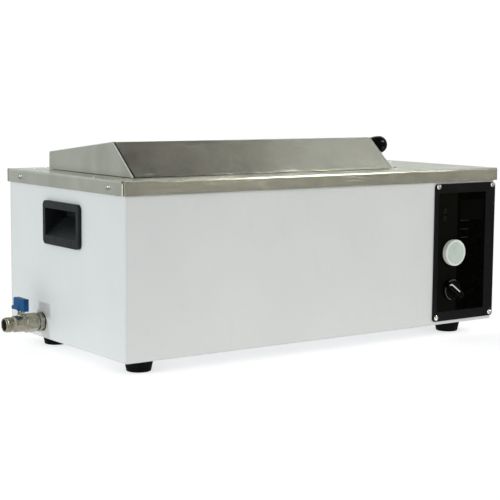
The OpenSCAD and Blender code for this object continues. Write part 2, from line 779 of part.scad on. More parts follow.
// Along the drain pipe: +Z out from the case wall, +X up, +Y to the rear
module pipe_frame() { translate([-side_x, valve_y, valve_z]) rotate([0, -90, 0]) children(); }

module drain_pipe() color("silver") placed() {
    inner = drain_x + side_x - elbow_r;
    pipe_frame() translate([0, 0, -22]) ring(thread_r - fit_gap, bore_r, 43);
    pipe_frame() translate([0, 0, -inner]) ring(tube_r, bore_r, inner - 22 + eps);
    translate([drain_x - elbow_r, valve_y, valve_z + elbow_r]) rotate([90, 0, 0])
        rotate_extrude(angle = -90) translate([elbow_r, 0]) difference() {
            circle(tube_r);
            circle(bore_r);
        }
    translate([drain_x, valve_y, valve_z + elbow_r])
        ring(tube_r, bore_r, tank_floor - steel_t - valve_z - elbow_r - fit_gap);
    translate([drain_x, valve_y, tank_floor - steel_t - 1.5 - fit_gap]) ring(14, bore_r, 1.5);
}

module drain_lock_nuts() color("silver") placed() pipe_frame() {
    translate([0, 0, 1.6]) hex_nut(nut_r, thread_r, 6);
    translate([0, 0, -case_t - 7.6]) hex_nut(nut_r, thread_r, 6);
}

module drain_washers() color("#303030") placed() pipe_frame() {
    translate([0, 0, fit_gap]) ring(drain_washer_r, thread_r, 1.5);
    translate([0, 0, -case_t - 1.5 - fit_gap]) ring(drain_washer_r, thread_r, 1.5);
}

module valve_body() color("tan") placed() pipe_frame() difference() {
    union() {
        translate([0, 0, hex_from]) cylinder(r = 13.5, h = round_from - hex_from + 1, $fn = 6);
        translate([0, 0, round_from]) cylinder(r = 11.6, h = thread_from - 2 - round_from);
        translate([0, 0, thread_from - 3]) cylinder(r = 9.4, h = 6);
        translate([0, 0, thread_from]) cylinder(r = thread_r, h = lip_from - thread_from);
        translate([0, 0, lip_from]) cylinder(r = 9.6, h = valve_reach - lip_from);
        translate([0, 0, ball_at]) rotate([0, 90, 0]) cylinder(r = 5, h = boss_h);
    }
    translate([0, 0, hex_from - 1]) cylinder(r = thread_r, h = 12.5);
    cylinder(r = bore_r, h = valve_reach + 9);
    translate([0, 0, ball_at - 8.6]) cylinder(r = ball_r + ball_gap, h = 17.2);
    translate([0, 0, ball_at]) rotate([0, 90, 0]) cylinder(r = stem_r + fit_gap, h = 30);
}

module valve_seats() color("white") placed() pipe_frame() for (s = [-1, 1])
    translate([0, 0, ball_at + s * 7.3 - 1.2]) ring(ball_r + ball_gap - fit_gap, seat_r, 2.4);

module valve_ball() color("silver") placed() pipe_frame() translate([0, 0, ball_at]) difference() {
    sphere(ball_r);
    rotate([90, 0, 0]) cylinder(r = 6.2, h = 40, center = true);
    translate([ball_r, 0, 0]) cube([3, 5, 2.2], center = true);
}

module valve_stem() color("silver") placed() pipe_frame() translate([0, 0, ball_at]) {
    translate([ball_r + 0.2, 0, 0]) rotate([0, 90, 0]) cylinder(r = stem_r, h = 21.5);
    translate([ball_r - 0.5, 0, 0]) cube([1.8, 4, 2], center = true);
}

module packing_nut() color("silver") placed() pipe_frame()
    translate([boss_h + 0.1, 0, ball_at]) rotate([0, 90, 0]) hex_nut(5.6, stem_r + fit_gap, 3.2);

module valve_lever() color("#1c4f87") placed() pipe_frame() translate([lever_z, 0, ball_at]) difference() {
    union() {
        translate([0, -lever_l / 2, -lever_t / 2]) cube([lever_h, lever_l, lever_t]);
        translate([0, lever_l / 2 - 1, -lever_t / 2]) cube([lug.x, lug.y + 1, lever_t]);
        rotate([0, 90, 0]) cylinder(r = 5.6, h = 9);
    }
    translate([-eps, 0, 0]) rotate([0, 90, 0]) cylinder(r = stem_r + fit_gap, h = 13);
    translate([4.5, 0, -9]) cylinder(r = 1.5 + fit_gap, h = 9);
}

module lever_screw() color("silver") placed() pipe_frame()
    translate([lever_z + 4.5, 0, ball_at - 5.5]) difference() {
        cylinder(r = 1.5, h = 2.4);
        translate([0, 0, -eps]) cylinder(r = 0.75, h = 1.2, $fn = 6);
    }

// ---- mains entry and wiring ----

module mains_inlet() color("#18181a") placed() {
    mid_z = (inlet_z + fuse_z) / 2;
    socket = [24, 16];
    socket_d = 16;
    cut = 3.5;
    difference() {
        union() {
            translate([inlet_x, back_y + 1.2, mid_z]) cube([32, 2.4 - fit_gap, 38], center = true);
            translate([inlet_x, back_y - 10, mid_z]) cube([28, 22, 33], center = true);
            for (x = [-8, 0, 8])
                translate([inlet_x + x, back_y - 24, inlet_z]) cube([4, 8, 0.8], center = true);
        }
        along_y(back_y - socket_d, back_y + 9) translate([inlet_x, inlet_z - 1]) polygon([
            [-socket.x / 2, socket.y / 2], [socket.x / 2, socket.y / 2],
            [socket.x / 2, -socket.y / 2 + cut], [socket.x / 2 - cut, -socket.y / 2],
            [-socket.x / 2 + cut, -socket.y / 2], [-socket.x / 2, -socket.y / 2 + cut]]);
        translate([inlet_x, back_y - 4, fuse_z]) cube([24.6, 16, 8.6], center = true);
    }
    for (p = [[-7, -3], [0, 1], [7, -3]])
        translate([inlet_x + p.x, back_y - socket_d + 4.9, inlet_z + p.y]) cube([2, 10, 4], center = true);
}

module fuse_drawer() color("#28282c") placed() difference() {
    union() {
        translate([inlet_x, back_y - 5, fuse_z]) cube([24, 13, 8], center = true);
        translate([inlet_x, back_y + 2.2, fuse_z]) cube([24, 1.6, 8], center = true);
    }
    translate([inlet_x, back_y - 4.5, fuse_z + 2]) cube([21, 6, 8], center = true);
}

module fuse() color("silver") placed() facing_right([inlet_x - 10, back_y - 4.5, fuse_z + 0.7])
    cylinder(r = 2.5, h = 20);

module terminal_block() color("ivory") placed() difference() {
    translate([225, 60, floor_z + fit_gap]) cube([60, 20, 18]);
    for (k = [0 : 3]) translate([235 + k * 13.3, 70, floor_z + 8]) cylinder(r = 3, h = 20);
}

module wiring() color("brown") placed() {
    lead([[tank_right + 22.5, -heater_y, heater_z], [165, -40, 100], [168, -56, 70], [178, -62, 58],
        [205, 20, 46], [234, 50, 38], [238, 58.4, 36]], 1.3);
    lead([[tank_right + 22.5, heater_y, heater_z], [163, 40, 108], [168, 48, 106], [182, 44, 98],
        [212, -60, 100], [222, -110, 112], [dial_x - 10, -125.6, 119]], 1.3);
    lead([[262, 58.4, 36], [262, 30, 50], [256, -60, 70], [248, -110, 74],
        [dial_x + 8, -121.4, selector_z]], 1.3);
    lead([[258, 132.4, inlet_z], [258, 110, 60], [250, 90, 40], [248, 81.6, 36]], 1.3);
    lead([[242, 132.4, inlet_z], [240, 112, 62], [236, 92, 42], [234, 81.6, 36]], 1.3);
}

case_wrap();
rear_panel();
rear_screws();
base_plate();
feet();
foot_screws();
foot_nuts();
top_plate();
side_edge_screws();
plate_screws();
tank();
tank_insulation();
perforated_shelf();
heater_element();
heater_glands();
probe_bulb();
capillary_tube();
probe_gland();
bulkhead();
lid_roof();
lid_end_left();
lid_end_right();
lid_back_rail();
lid_bumpers();
lid_knob();
lid_knob_screw();
hinge_fixed_leaves();
hinge_moving_leaves();
hinge_pins();
hinge_plate_screws();
hinge_lid_screws();
control_panel();
panel_overlay();
display_window();
display_board();
indicator_lamps();
panel_screws();
thermostat_knob();
thermostat_shaft();
thermostat_body();
selector_knob();
selector_shaft();
selector_switch();
handle_left();
handle_right();
valve_body();
valve_seats();
valve_ball();
valve_stem();
packing_nut();
valve_lever();
lever_screw();
drain_lock_nuts();
drain_washers();
drain_pipe();
mains_inlet();
fuse_drawer();
fuse();
terminal_block();
wiring();
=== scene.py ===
"""Looks of the laboratory water bath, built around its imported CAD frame. Metres, row frame."""

import json
import math

import bmesh
import bpy
from mathutils import Matrix, Vector


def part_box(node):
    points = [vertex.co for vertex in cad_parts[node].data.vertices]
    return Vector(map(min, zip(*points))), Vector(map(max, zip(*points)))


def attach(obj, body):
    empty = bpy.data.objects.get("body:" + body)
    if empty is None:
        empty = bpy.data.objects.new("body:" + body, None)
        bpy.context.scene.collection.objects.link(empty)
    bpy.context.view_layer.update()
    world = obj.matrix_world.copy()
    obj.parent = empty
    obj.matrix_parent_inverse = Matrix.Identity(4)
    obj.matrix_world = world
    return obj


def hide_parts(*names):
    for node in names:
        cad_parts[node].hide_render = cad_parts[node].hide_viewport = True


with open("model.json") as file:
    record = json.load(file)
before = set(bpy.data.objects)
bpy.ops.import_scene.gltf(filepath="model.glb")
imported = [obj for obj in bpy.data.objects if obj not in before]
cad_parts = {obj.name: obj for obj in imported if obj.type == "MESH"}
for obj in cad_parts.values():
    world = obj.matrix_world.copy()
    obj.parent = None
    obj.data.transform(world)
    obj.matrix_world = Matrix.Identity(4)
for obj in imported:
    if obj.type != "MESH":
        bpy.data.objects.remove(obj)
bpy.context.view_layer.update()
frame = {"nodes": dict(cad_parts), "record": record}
MM = 0.001


# ---- camera ----

CAMERA_AT = (-1.148017, -1.610217, 0.365578)
YAW, PITCH, ROLL = (math.radians(a) for a in (35.64495, 6.74294, 0.43653))
LENS, SENSOR = 97.84, 36


def make_camera():
    """The studio camera: looks along YAW (from +Y towards +X), PITCH down, turned by ROLL."""
    ahead = Vector(
        (math.sin(YAW) * math.cos(PITCH), math.cos(YAW) * math.cos(PITCH), -math.sin(PITCH))
    )
    level = Vector((math.cos(YAW), -math.sin(YAW), 0))
    up = level.cross(ahead)
    right = level * math.cos(ROLL) + up * math.sin(ROLL)
    up = up * math.cos(ROLL) - level * math.sin(ROLL)
    data = bpy.data.cameras.new("camera")
    data.lens, data.sensor_width = LENS, SENSOR
    data.clip_start, data.clip_end = 0.05, 60
    camera = bpy.data.objects.new("camera", data)
    turn = Matrix((right, up, -ahead)).transposed().to_4x4()
    camera.matrix_world = Matrix.Translation(CAMERA_AT) @ turn
    bpy.context.scene.collection.objects.link(camera)
    bpy.context.scene.camera = camera


# ---- shader nodes ----


def feed(tree, socket, value):
    """Sets a socket to a number or a colour, or links it to another node's output."""
    if isinstance(value, tuple):
        socket.default_value = (*value, 1)
    elif isinstance(value, (int, float)):
        socket.default_value = value
    else:
        tree.links.new(value, socket)


def combine(tree, kind, a, b):
    """One Math node over two numbers or sockets."""
    made = tree.nodes.new("ShaderNodeMath")
    made.operation = kind
    feed(tree, made.inputs[0], a)
    feed(tree, made.inputs[1], b)
    return made.outputs[0]


def remap(tree, value, source, target, smooth=False):
    """The socket mapped from the source range to the target range, and held inside it."""
    made = tree.nodes.new("ShaderNodeMapRange")
    if smooth:
        made.interpolation_type = "SMOOTHSTEP"
    for key, bound in zip(("From Min", "From Max", "To Min", "To Max"), (*source, *target)):
        made.inputs[key].default_value = bound
    tree.links.new(value, made.inputs["Value"])
    return made.outputs["Result"]


def mix_colours(tree, share, a, b):
    """Colour or socket a turning into b as share goes from 0 to 1."""
    made = tree.nodes.new("ShaderNodeMix")
    made.data_type = "RGBA"
    tree.links.new(share, made.inputs["Factor"])
    for socket, value in zip((s for s in made.inputs if s.type == "RGBA"), (a, b)):
        feed(tree, socket, value)
    return next(s for s in made.outputs if s.type == "RGBA")


# ---- materials ----


class Finish:
    """A principled material whose colour, roughness and relief come from object-space noise."""

    def __init__(self, name, metallic=0.0, **fixed):
        self.material = bpy.data.materials.new(name)
        self.material.use_nodes = True
        self.tree = self.material.node_tree
        self.shader = self.tree.nodes["Principled BSDF"]
        self.shader.inputs["Metallic"].default_value = metallic
        for socket, value in fixed.items():
            self.shader.inputs[socket.replace("_", " ")].default_value = value
        self.coords = self.node("ShaderNodeTexCoord").outputs["Object"]
        self.normal = None

    def node(self, kind, **settings):
        made = self.tree.nodes.new(kind)
        for key, value in settings.items():
            setattr(made, key, value)
        return made

    def link(self, a, b):
        self.tree.links.new(a, b)

    def spread(self, size, stretch):
        """Coordinates in which one unit is size metres, or more along an axis by stretch."""
        made = self.node("ShaderNodeMapping")
        made.inputs["Scale"].default_value = [1 / (size * s) for s in stretch]
        self.link(self.coords, made.inputs["Vector"])
        return made.outputs[0]

    def noise(self, size, detail, stretch=(1, 1, 1), rough=0.55):
        """0..1 noise whose features are size metres across, longer along an axis by stretch."""
        made = self.node("ShaderNodeTexNoise")
        made.inputs["Scale"].default_value = 1
        made.inputs["Detail"].default_value = detail
        made.inputs["Roughness"].default_value = rough
        self.link(self.spread(size, stretch), made.inputs["Vector"])
        return made.outputs["Fac"]

    def cells(self, size):
        """0..1 distance inside cells about size metres across."""
        made = self.node("ShaderNodeTexVoronoi")
        made.inputs["Scale"].default_value = 1
        self.link(self.spread(size, (1, 1, 1)), made.inputs["Vector"])
        return made.outputs["Distance"]

    def span(self, value, low, high, source=(0.3, 0.7)):
        """value mapped from the source range to low..high, held inside it."""
        return remap(self.tree, value, source, (low, high))

    def sum(self, a, b):
        return combine(self.tree, "ADD", a, b)

    def blend(self, share, a, b):
        """Colour or socket a turning into b as share goes from 0 to 1."""
        return mix_colours(self.tree, share, a, b)

    def edges(self, radius):
        """About 1 on a sharp edge within radius and 0 on the flats."""
        soft = self.node("ShaderNodeBevel", samples=4)
        soft.inputs["Radius"].default_value = radius
        plain = self.node("ShaderNodeNewGeometry")
        dot = self.node("ShaderNodeVectorMath", operation="DOT_PRODUCT")
        self.link(soft.outputs[0], dot.inputs[0])
        self.link(plain.outputs["Normal"], dot.inputs[1])
        return self.span(dot.outputs["Value"], 1, 0, (0.9, 0.995))

    def colour(self, source):
        self.link(source, self.shader.inputs["Base Color"])

    def rough(self, source):
        self.link(source, self.shader.inputs["Roughness"])

    def relief(self, height, depth, strength=1.0):
        """Adds a bump of that height map, depth metres deep."""
        made = self.node("ShaderNodeBump")
        made.inputs["Distance"].default_value = depth
        made.inputs["Strength"].default_value = strength
        self.link(height, made.inputs["Height"])
        if self.normal is not None:
            self.link(self.normal, made.inputs["Normal"])
        self.normal = made.outputs["Normal"]
        self.link(self.normal, self.shader.inputs["Normal"])

    def round_edges(self, radius):
        """Soft light on edges that the tools leave sharp. Comes before any relief."""
        made = self.node("ShaderNodeBevel", samples=4)
        made.inputs["Radius"].default_value = radius
        self.normal = made.outputs[0]
        self.link(self.normal, self.shader.inputs["Normal"])

    def brushed_along_x(self, amount):
        """Stretches highlights across a grain that runs along X."""
        self.shader.inputs["Anisotropic"].default_value = amount
        across = self.node("ShaderNodeCombineXYZ")
        across.inputs["Y"].default_value = across.inputs["Z"].default_value = 1
        self.link(across.outputs[0], self.shader.inputs["Tangent"])


def sheet_steel(name, tone, shade, rough, grain, waves, aniso=0.85, depth=0.002, edge=0.0006):
    """Rolled and brushed sheet: fine streaks along X, cloudy sheen, smears and dull blotches.

    The sheet is wavy over that many metres and by that depth, and its edges have that radius."""
    f = Finish(name, metallic=1.0)
    streak = f.noise(0.0005, 4, (60, 1, 1))
    broad = f.noise(0.005, 3, (40, 1, 1))
    cloud = f.noise(0.09, 4)
    smear = f.noise(0.03, 5, (1.6, 1, 1))
    f.round_edges(edge)
    body = f.blend(f.span(f.sum(streak, cloud), 0, 1, (0.6, 1.4)), shade, tone)
    blotch = f.noise(0.035, 1, (1.5, 1.5, 3))
    dull = tuple(c * 0.72 for c in shade)
    f.colour(f.blend(f.span(blotch, 0, 0.42, (0.48, 0.75)), body, dull))
    f.rough(f.sum(f.span(streak, -0.02, 0.02), f.span(smear, rough - 0.03, rough + 0.05)))
    f.relief(f.noise(waves, 1), depth)
    f.relief(broad, 0.00002, 0.4)
    f.relief(streak, 0.00001, grain)
    f.brushed_along_x(aniso)
    return f.material


def turned_metal(name, tone, shade, rough, pit=0.0004, depth=0.00002):
    """Small machined or cast metal: fine pits, patchy tarnish and brighter worn edges."""
    f = Finish(name, metallic=1.0)
    f.round_edges(0.0003)
    tarnish = f.noise(0.006, 5)
    worn = f.edges(0.0006)
    bright = tuple(min(1, c * 1.3) for c in tone)
    f.colour(f.blend(worn, f.blend(f.span(tarnish, 0, 1), shade, tone), bright))
    f.rough(f.span(f.noise(0.002, 4), rough - 0.06, rough + 0.1))
    f.relief(f.noise(pit, 3), depth, 0.7)
    return f.material


def moulded(name, tone, shade, rough, grain, depth, wear=None, **fixed):
    """Plastic, rubber or print: a grain of that size and depth, mottling and rubbed edges."""
    f = Finish(name, **fixed)
    f.round_edges(0.0004)
    mottle = f.blend(f.span(f.noise(0.012, 5), 0, 1), tone, shade)
    if wear:
        rubbed = f.edges(0.0007)
        mottle = f.blend(f.span(rubbed, 0, 0.55, (0, 1)), mottle, wear)
    f.colour(mottle)
    f.rough(f.span(f.noise(0.009, 4), rough - 0.05, rough + 0.08))
    f.relief(f.noise(0.03, 2), 0.0002, 0.25)
    f.relief(f.cells(grain), depth, 0.6)
    return f.material


def split_film(name, column, window, where):
    """The panel's glossy black film: a printed column on the left, deeper black right of where."""
    f = Finish(name, Specular_IOR_Level=0.015)
    across = f.node("ShaderNodeSeparateXYZ")
    f.link(f.coords, across.inputs[0])
    right_of = f.span(across.outputs["X"], 0, 1, (where - 0.0004, where + 0.0004))
    grain = f.span(f.noise(0.006, 4), 0.6, 1.4)
    f.colour(f.blend(combine(f.tree, "MULTIPLY", right_of, grain), column, window))
    f.rough(f.span(f.noise(0.004, 4), 0.25, 0.34))
    f.relief(f.noise(0.03, 2), 0.0001, 0.3)
    return f.material


def painted(name, tone, shade, rough):
    """Stoved enamel on sheet steel: orange peel, faint handling marks and slight panel waviness."""
    f = Finish(name, Coat_Weight=0.15, Coat_Roughness=0.25)
    f.round_edges(0.0025)
    cloud = f.noise(0.09, 4)
    speck = f.noise(0.0011, 2)
    marks = f.noise(0.016, 6, (1, 1, 2.5), 0.7)
    body = f.blend(f.span(cloud, 0, 1), shade, tone)
    grubby = tuple(c * 0.93 for c in shade)
    f.colour(f.blend(f.span(marks, 0, 0.5, (0.58, 0.8)), body, grubby))
    f.rough(f.sum(f.span(speck, -0.03, 0.03), f.span(marks, rough, rough + 0.1)))
    f.relief(f.noise(0.12, 1), 0.0008, 0.35)
    f.relief(f.noise(0.0016, 2), 0.00006, 0.5)
    return f.material


def clear_plastic(name, tint, rough, weight, **fixed):
    """Glass or tinted plastic that lets the share weight of the light through."""
    f = Finish(name, Transmission_Weight=weight, IOR=1.49, **fixed)
    f.colour(f.blend(f.span(f.noise(0.01, 4), 0, 1), tint, tuple(c * 0.8 for c in tint)))
    f.rough(f.span(f.noise(0.004, 5), rough, rough + 0.06))
    f.relief(f.noise(0.02, 2), 0.0001, 0.3)
    return f.material


def glass_fibre(name, tone, shade):
    """Matted insulation wool with its strands lying level."""
    f = Finish(name, Roughness=0.95)
    strands = f.noise(0.0012, 6, (14, 14, 1))
    f.colour(f.blend(f.span(strands, 0, 1), shade, tone))
    f.relief(strands, 0.0015, 1.0)
    f.relief(f.noise(0.02, 4), 0.003, 0.8)
    return f.material


# X where the film's printed column ends, and the tone that all the brushed sheets share
FILM_SPLIT = 0.271
STEEL = (0.60, 0.603, 0.555)


def metal_finishes():
    return {
        "base_zinc": sheet_steel(
            "base_zinc", (0.55, 0.57, 0.58), (0.42, 0.44, 0.46), 0.42, 0.3, 0.08,
            aniso=0.1, depth=0.0005),
        "plate_steel": sheet_steel(
            "plate_steel", STEEL, (0.47, 0.465, 0.41), 0.2, 0.5, 0.14, depth=0.0009),
        "lid_steel": sheet_steel(
            "lid_steel", STEEL, (0.46, 0.465, 0.42), 0.22, 0.5, 0.1, depth=0.0007, edge=0.001),
        "tank_steel": sheet_steel(
            "tank_steel", (0.62, 0.62, 0.60), (0.5, 0.5, 0.48), 0.3, 0.3, 0.09, aniso=0.2),
        "hinge_steel": sheet_steel(
            "hinge_steel", STEEL, (0.4, 0.4, 0.37), 0.25, 0.3, 0.03, aniso=0.3),
        "bright_screw": turned_metal("bright_screw", (0.86, 0.86, 0.84), (0.62, 0.62, 0.60), 0.2),
        "dull_screw": turned_metal("dull_screw", (0.5, 0.5, 0.48), (0.36, 0.36, 0.34), 0.34),
        "dark_screw": turned_metal("dark_screw", (0.2, 0.2, 0.19), (0.1, 0.1, 0.1), 0.35),
        "weld_edge": turned_metal(
            "weld_edge", (0.70, 0.70, 0.66), (0.56, 0.56, 0.52), 0.3, pit=0.0005, depth=0.00001),
        "heater_sheath": turned_metal(
            "heater_sheath", (0.3, 0.29, 0.27), (0.16, 0.15, 0.15), 0.42),
        "brass": turned_metal("brass", (0.75, 0.55, 0.25), (0.5, 0.34, 0.14), 0.3),
        "copper_tube": turned_metal("copper_tube", (0.72, 0.4, 0.26), (0.45, 0.22, 0.13), 0.32),
        "shaft_steel": turned_metal("shaft_steel", (0.6, 0.6, 0.58), (0.45, 0.45, 0.43), 0.28),
        "pipe_steel": turned_metal("pipe_steel", (0.55, 0.54, 0.51), (0.38, 0.37, 0.34), 0.34),
        "valve_nickel": turned_metal(
            "valve_nickel", (0.44, 0.42, 0.35), (0.25, 0.23, 0.18), 0.3, pit=0.0006, depth=0.00004),
    }


def moulded_finishes():
    return {
        "foot_rubber": moulded(
            "foot_rubber", (0.003, 0.003, 0.003), (0.006, 0.0055, 0.0055), 0.62, 0.0008, 0.00006,
            Specular_IOR_Level=0.04),
        "washer_rubber": moulded(
            "washer_rubber", (0.016, 0.016, 0.016), (0.03, 0.03, 0.03), 0.7, 0.0006, 0.00005),
        "black_phenolic": moulded(
            "black_phenolic", (0.0012, 0.0012, 0.0015), (0.0024, 0.0022, 0.0022), 0.1, 0.0009,
            0.000004, Specular_IOR_Level=0.07),
        "panel_black": moulded(
            "panel_black", (0.0035, 0.004, 0.0045), (0.006, 0.006, 0.007), 0.35, 0.0012, 0.000015,
            wear=(0.02, 0.02, 0.022), Specular_IOR_Level=0.12),
        "grip_plastic": moulded(
            "grip_plastic", (0.0075, 0.0095, 0.0105), (0.0125, 0.015, 0.016), 0.45, 0.0007, 0.00005,
            wear=(0.07, 0.075, 0.08), Specular_IOR_Level=0.2),
        "inlet_black": moulded(
            "inlet_black", (0.012, 0.012, 0.013), (0.02, 0.02, 0.02), 0.4, 0.0006, 0.00004,
            wear=(0.07, 0.07, 0.07)),
        "lever_blue": moulded(
            "lever_blue", (0.004, 0.082, 0.235), (0.002, 0.058, 0.17), 0.42, 0.0009, 0.00003,
            wear=(0.03, 0.15, 0.34), Specular_IOR_Level=0.15),
        "dial_white": moulded(
            "dial_white", (0.80, 0.83, 0.79), (0.70, 0.73, 0.69), 0.32, 0.0007, 0.00002,
            wear=(0.92, 0.93, 0.91), Specular_IOR_Level=0.4),
        "dial_face": moulded(
            "dial_face", (0.58, 0.65, 0.59), (0.50, 0.57, 0.51), 0.4, 0.0007, 0.00003,
            Specular_IOR_Level=0.3),
        "switch_body": moulded(
            "switch_body", (0.55, 0.47, 0.33), (0.45, 0.37, 0.25), 0.5, 0.001, 0.00004),
        "circuit": moulded("circuit", (0.01, 0.06, 0.02), (0.02, 0.1, 0.04), 0.4, 0.002, 0.0001),
        "seat_ptfe": moulded(
            "seat_ptfe", (0.8, 0.8, 0.78), (0.7, 0.7, 0.68), 0.45, 0.001, 0.00002),
        "wire_sleeve": moulded(
            "wire_sleeve", (0.28, 0.10, 0.03), (0.2, 0.07, 0.02), 0.5, 0.0008, 0.00004),
        "print_white": moulded(
            "print_white", (0.72, 0.72, 0.70), (0.6, 0.6, 0.58), 0.5, 0.0006, 0.00001),
        "print_grey": moulded(
            "print_grey", (0.10, 0.10, 0.10), (0.06, 0.06, 0.06), 0.5, 0.0006, 0.00001),
        "print_dark": moulded(
            "print_dark", (0.009, 0.009, 0.009), (0.006, 0.006, 0.006), 0.5, 0.0006, 0.00001),
        # Painted shade: a dark strip laid along the lid's left seam, where the gap between end plate and
        # roof lies in shadow
        "gap_shade_painted": moulded(
            "gap_shade_painted", (0.012, 0.012, 0.010), (0.03, 0.03, 0.026), 0.7, 0.0008, 0.00004,
            Specular_IOR_Level=0.05),
    }


def other_finishes():
    return {
        "case_paint": painted("case_paint", (0.72, 0.725, 0.715), (0.695, 0.70, 0.69), 0.42),
        "glass_wool": glass_fibre("glass_wool", (0.72, 0.62, 0.33), (0.5, 0.4, 0.18)),
        "overlay_black": split_film(
            "overlay_black", (0.0046, 0.0046, 0.0036), (0.0002, 0.0002, 0.0002), FILM_SPLIT),
        "smoked_window": clear_plastic(
            "smoked_window", (0.0004, 0.0003, 0.0003), 0.2, 0.05, Specular_IOR_Level=0.03),
        "lamp_amber": clear_plastic(
            "lamp_amber", (0.0065, 0.0060, 0.0025), 0.3, 0.05, Specular_IOR_Level=0.05),
        "fuse_glass": clear_plastic("fuse_glass", (0.7, 0.75, 0.75), 0.04, 0.8),
    }


FINISHES = {**metal_finishes(), **moulded_finishes(), **other_finishes()}
SLOT_OF = {s["node"]: s["material_slot"] for s in frame["record"]["subparts"]}
DULL_SCREWS = ("side_edge_screws", "rear_screws")
for node_name, node_object in frame["nodes"].items():
    node_object.data.materials.clear()
    finish_name = "dull_screw" if node_name in DULL_SCREWS else SLOT_OF[node_name]
    node_object.data.materials.append(FINISHES[finish_name])


# ---- pieces made here ----

NODE_BODY = {n: body for body, nodes in frame["record"]["behaviour"]["bodies"].items() for n in nodes}


def axes_at(origin, ahead, up):
    """The frame at origin whose Z points ahead and whose X points up."""
    ahead, up = Vector(ahead).normalized(), Vector(up).normalized()
    side = ahead.cross(up)
    turn = Matrix((up, side, ahead)).transposed().to_4x4()
    return Matrix.Translation(Vector(origin)) @ turn


def finish_piece(name, work, node, slot=None, hides=True, sharp=32):
    """Makes the mesh a piece that rides with a CAD node's body.

    It wears that node's finish, or the one named by slot, and stands for the node if it hides it."""
    bmesh.ops.remove_doubles(work, verts=work.verts, dist=1e-7)
    bmesh.ops.recalc_face_normals(work, faces=work.faces)
    mesh = bpy.data.meshes.new(name)
    work.to_mesh(mesh)
    work.free()
    mesh.polygons.foreach_set("use_smooth", [True] * len(mesh.polygons))
    mesh.set_sharp_from_angle(angle=math.radians(sharp))
    slot = slot or SLOT_OF[node]
    mesh.materials.append(FINISHES[slot])
    piece = bpy.data.objects.new(name, mesh)
    bpy.context.scene.collection.objects.link(piece)
    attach(piece, NODE_BODY[node])
    if hides:
        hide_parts(node)


def eased(corners, closed=False):
    """The outline with each corner (u, v, ease) cut back by ease and joined by a curve."""
    steps = 4
    out, count = [], len(corners)
    for i, (u, v, ease) in enumerate(corners):
        at = Vector((u, v))
        if ease == 0 or (not closed and i in (0, count - 1)):
            out.append((u, v))
            continue
        before = Vector(corners[i - 1][:2]) - at
        after = Vector(corners[(i + 1) % count][:2]) - at
        a = at + before.normalized() * min(ease, before.length / 2)
        b = at + after.normalized() * min(ease, after.length / 2)
        for k in range(steps + 1):
            t = k / steps
            p = a * (1 - t) ** 2 + at * 2 * t * (1 - t) + b * t**2
            out.append((p.x, p.y))
    return out


def shell(work, rows, place, around=96, closed=False):
    """A round surface through rows of (radius, or radius at an angle; height), in millimetres.

    A closed one runs from the last row back to the first. The others are capped at both ends."""
    rings = []
    for radius, height in rows:
        ring = []
        for k in range(around):
            angle = math.tau * k / around
            r = (radius(angle) if callable(radius) else radius) * MM
            ring.append(
                work.verts.new(place @ Vector((r * math.cos(angle), r * math.sin(angle), height * MM)))
            )
        rings.append(ring)
    for a, b in zip(rings, rings[1:] + (rings[:1] if closed else [])):
        for k in range(around):
            n = (k + 1) % around
            work.faces.new((a[k], a[n], b[n], b[k]))
    if not closed:
        work.faces.new(rings[0][::-1])
        work.faces.new(rings[-1])


def slab(work, outline, low, high, soft, place, steps):
    """An outline in millimetres drawn out from low to high, its upper edge rounded in steps."""
    middle = Vector((sum(p[0] for p in outline), sum(p[1] for p in outline))) / len(outline)
    rings = []
    levels = [(0, low)] + [
        (soft * (1 - math.cos(t)), high - soft + soft * math.sin(t))
        for t in (math.pi / 2 * k / steps for k in range(steps + 1))
    ]
    half_u = max(abs(p[0] - middle.x) for p in outline)
    half_v = max(abs(p[1] - middle.y) for p in outline)
    for cut, level in levels:
        scale_u, scale_v = 1 - cut / half_u, 1 - cut / half_v
        rings.append([
            work.verts.new(place @ Vector((
                (middle.x + (u - middle.x) * scale_u) * MM,
                (middle.y + (v - middle.y) * scale_v) * MM,
                level * MM)))
            for u, v in outline
        ])
    count = len(outline)
    for a, b in zip(rings, rings[1:]):
        for k in range(count):
            work.faces.new((a[k], a[(k + 1) % count], b[(k + 1) % count], b[k]))
    work.faces.new(rings[0][::-1])
    work.faces.new(rings[-1])


def hexagon(corner_r, cap=math.inf):
    """Radius at an angle of a hexagon with a corner at angle 0, held inside a circle of radius cap."""
    def radius(angle):
        flat = corner_r * math.cos(math.pi / 6)
        return min(cap, flat / math.cos(angle % (math.pi / 3) - math.pi / 6))
    return radius


def hex_nut_rows(corner_r, bore_r, low, high, chamfer):
    """Rows of a nut whose six corners are turned away at both ends."""
    cap = corner_r * 0.93
    return [
        (bore_r, low), (hexagon(corner_r, cap), low), (hexagon(corner_r), low + chamfer),
        (hexagon(corner_r), high - chamfer), (hexagon(corner_r, cap), high),
        (bore_r + 0.6, high), (bore_r, high - 0.6),
    ]


def ring_strip(work, inner, outer, start, end, low, high, place):
    """A thin flat arc between two radii and two angles in degrees."""
    steps = 24
    rows = []
    for k in range(steps + 1):
        angle = math.radians(start + (end - start) * k / steps)
        rows.append([
            work.verts.new(place @ Vector((r * MM * math.cos(angle), r * MM * math.sin(angle), h * MM)))
            for r, h in ((inner, low), (outer, low), (outer, high), (inner, high))
        ])
    for a, b in zip(rows, rows[1:]):
        for i in range(4):
            work.faces.new((a[i], a[(i + 1) % 4], b[(i + 1) % 4], b[i]))
    work.faces.new(rows[0][::-1])
    work.faces.new(rows[-1])


def middle_of(node):
    """The middle, the low corner and the high corner of a CAD node's box."""
    low, high = (Vector(v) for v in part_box(node))
    return (low + high) / 2, low, high


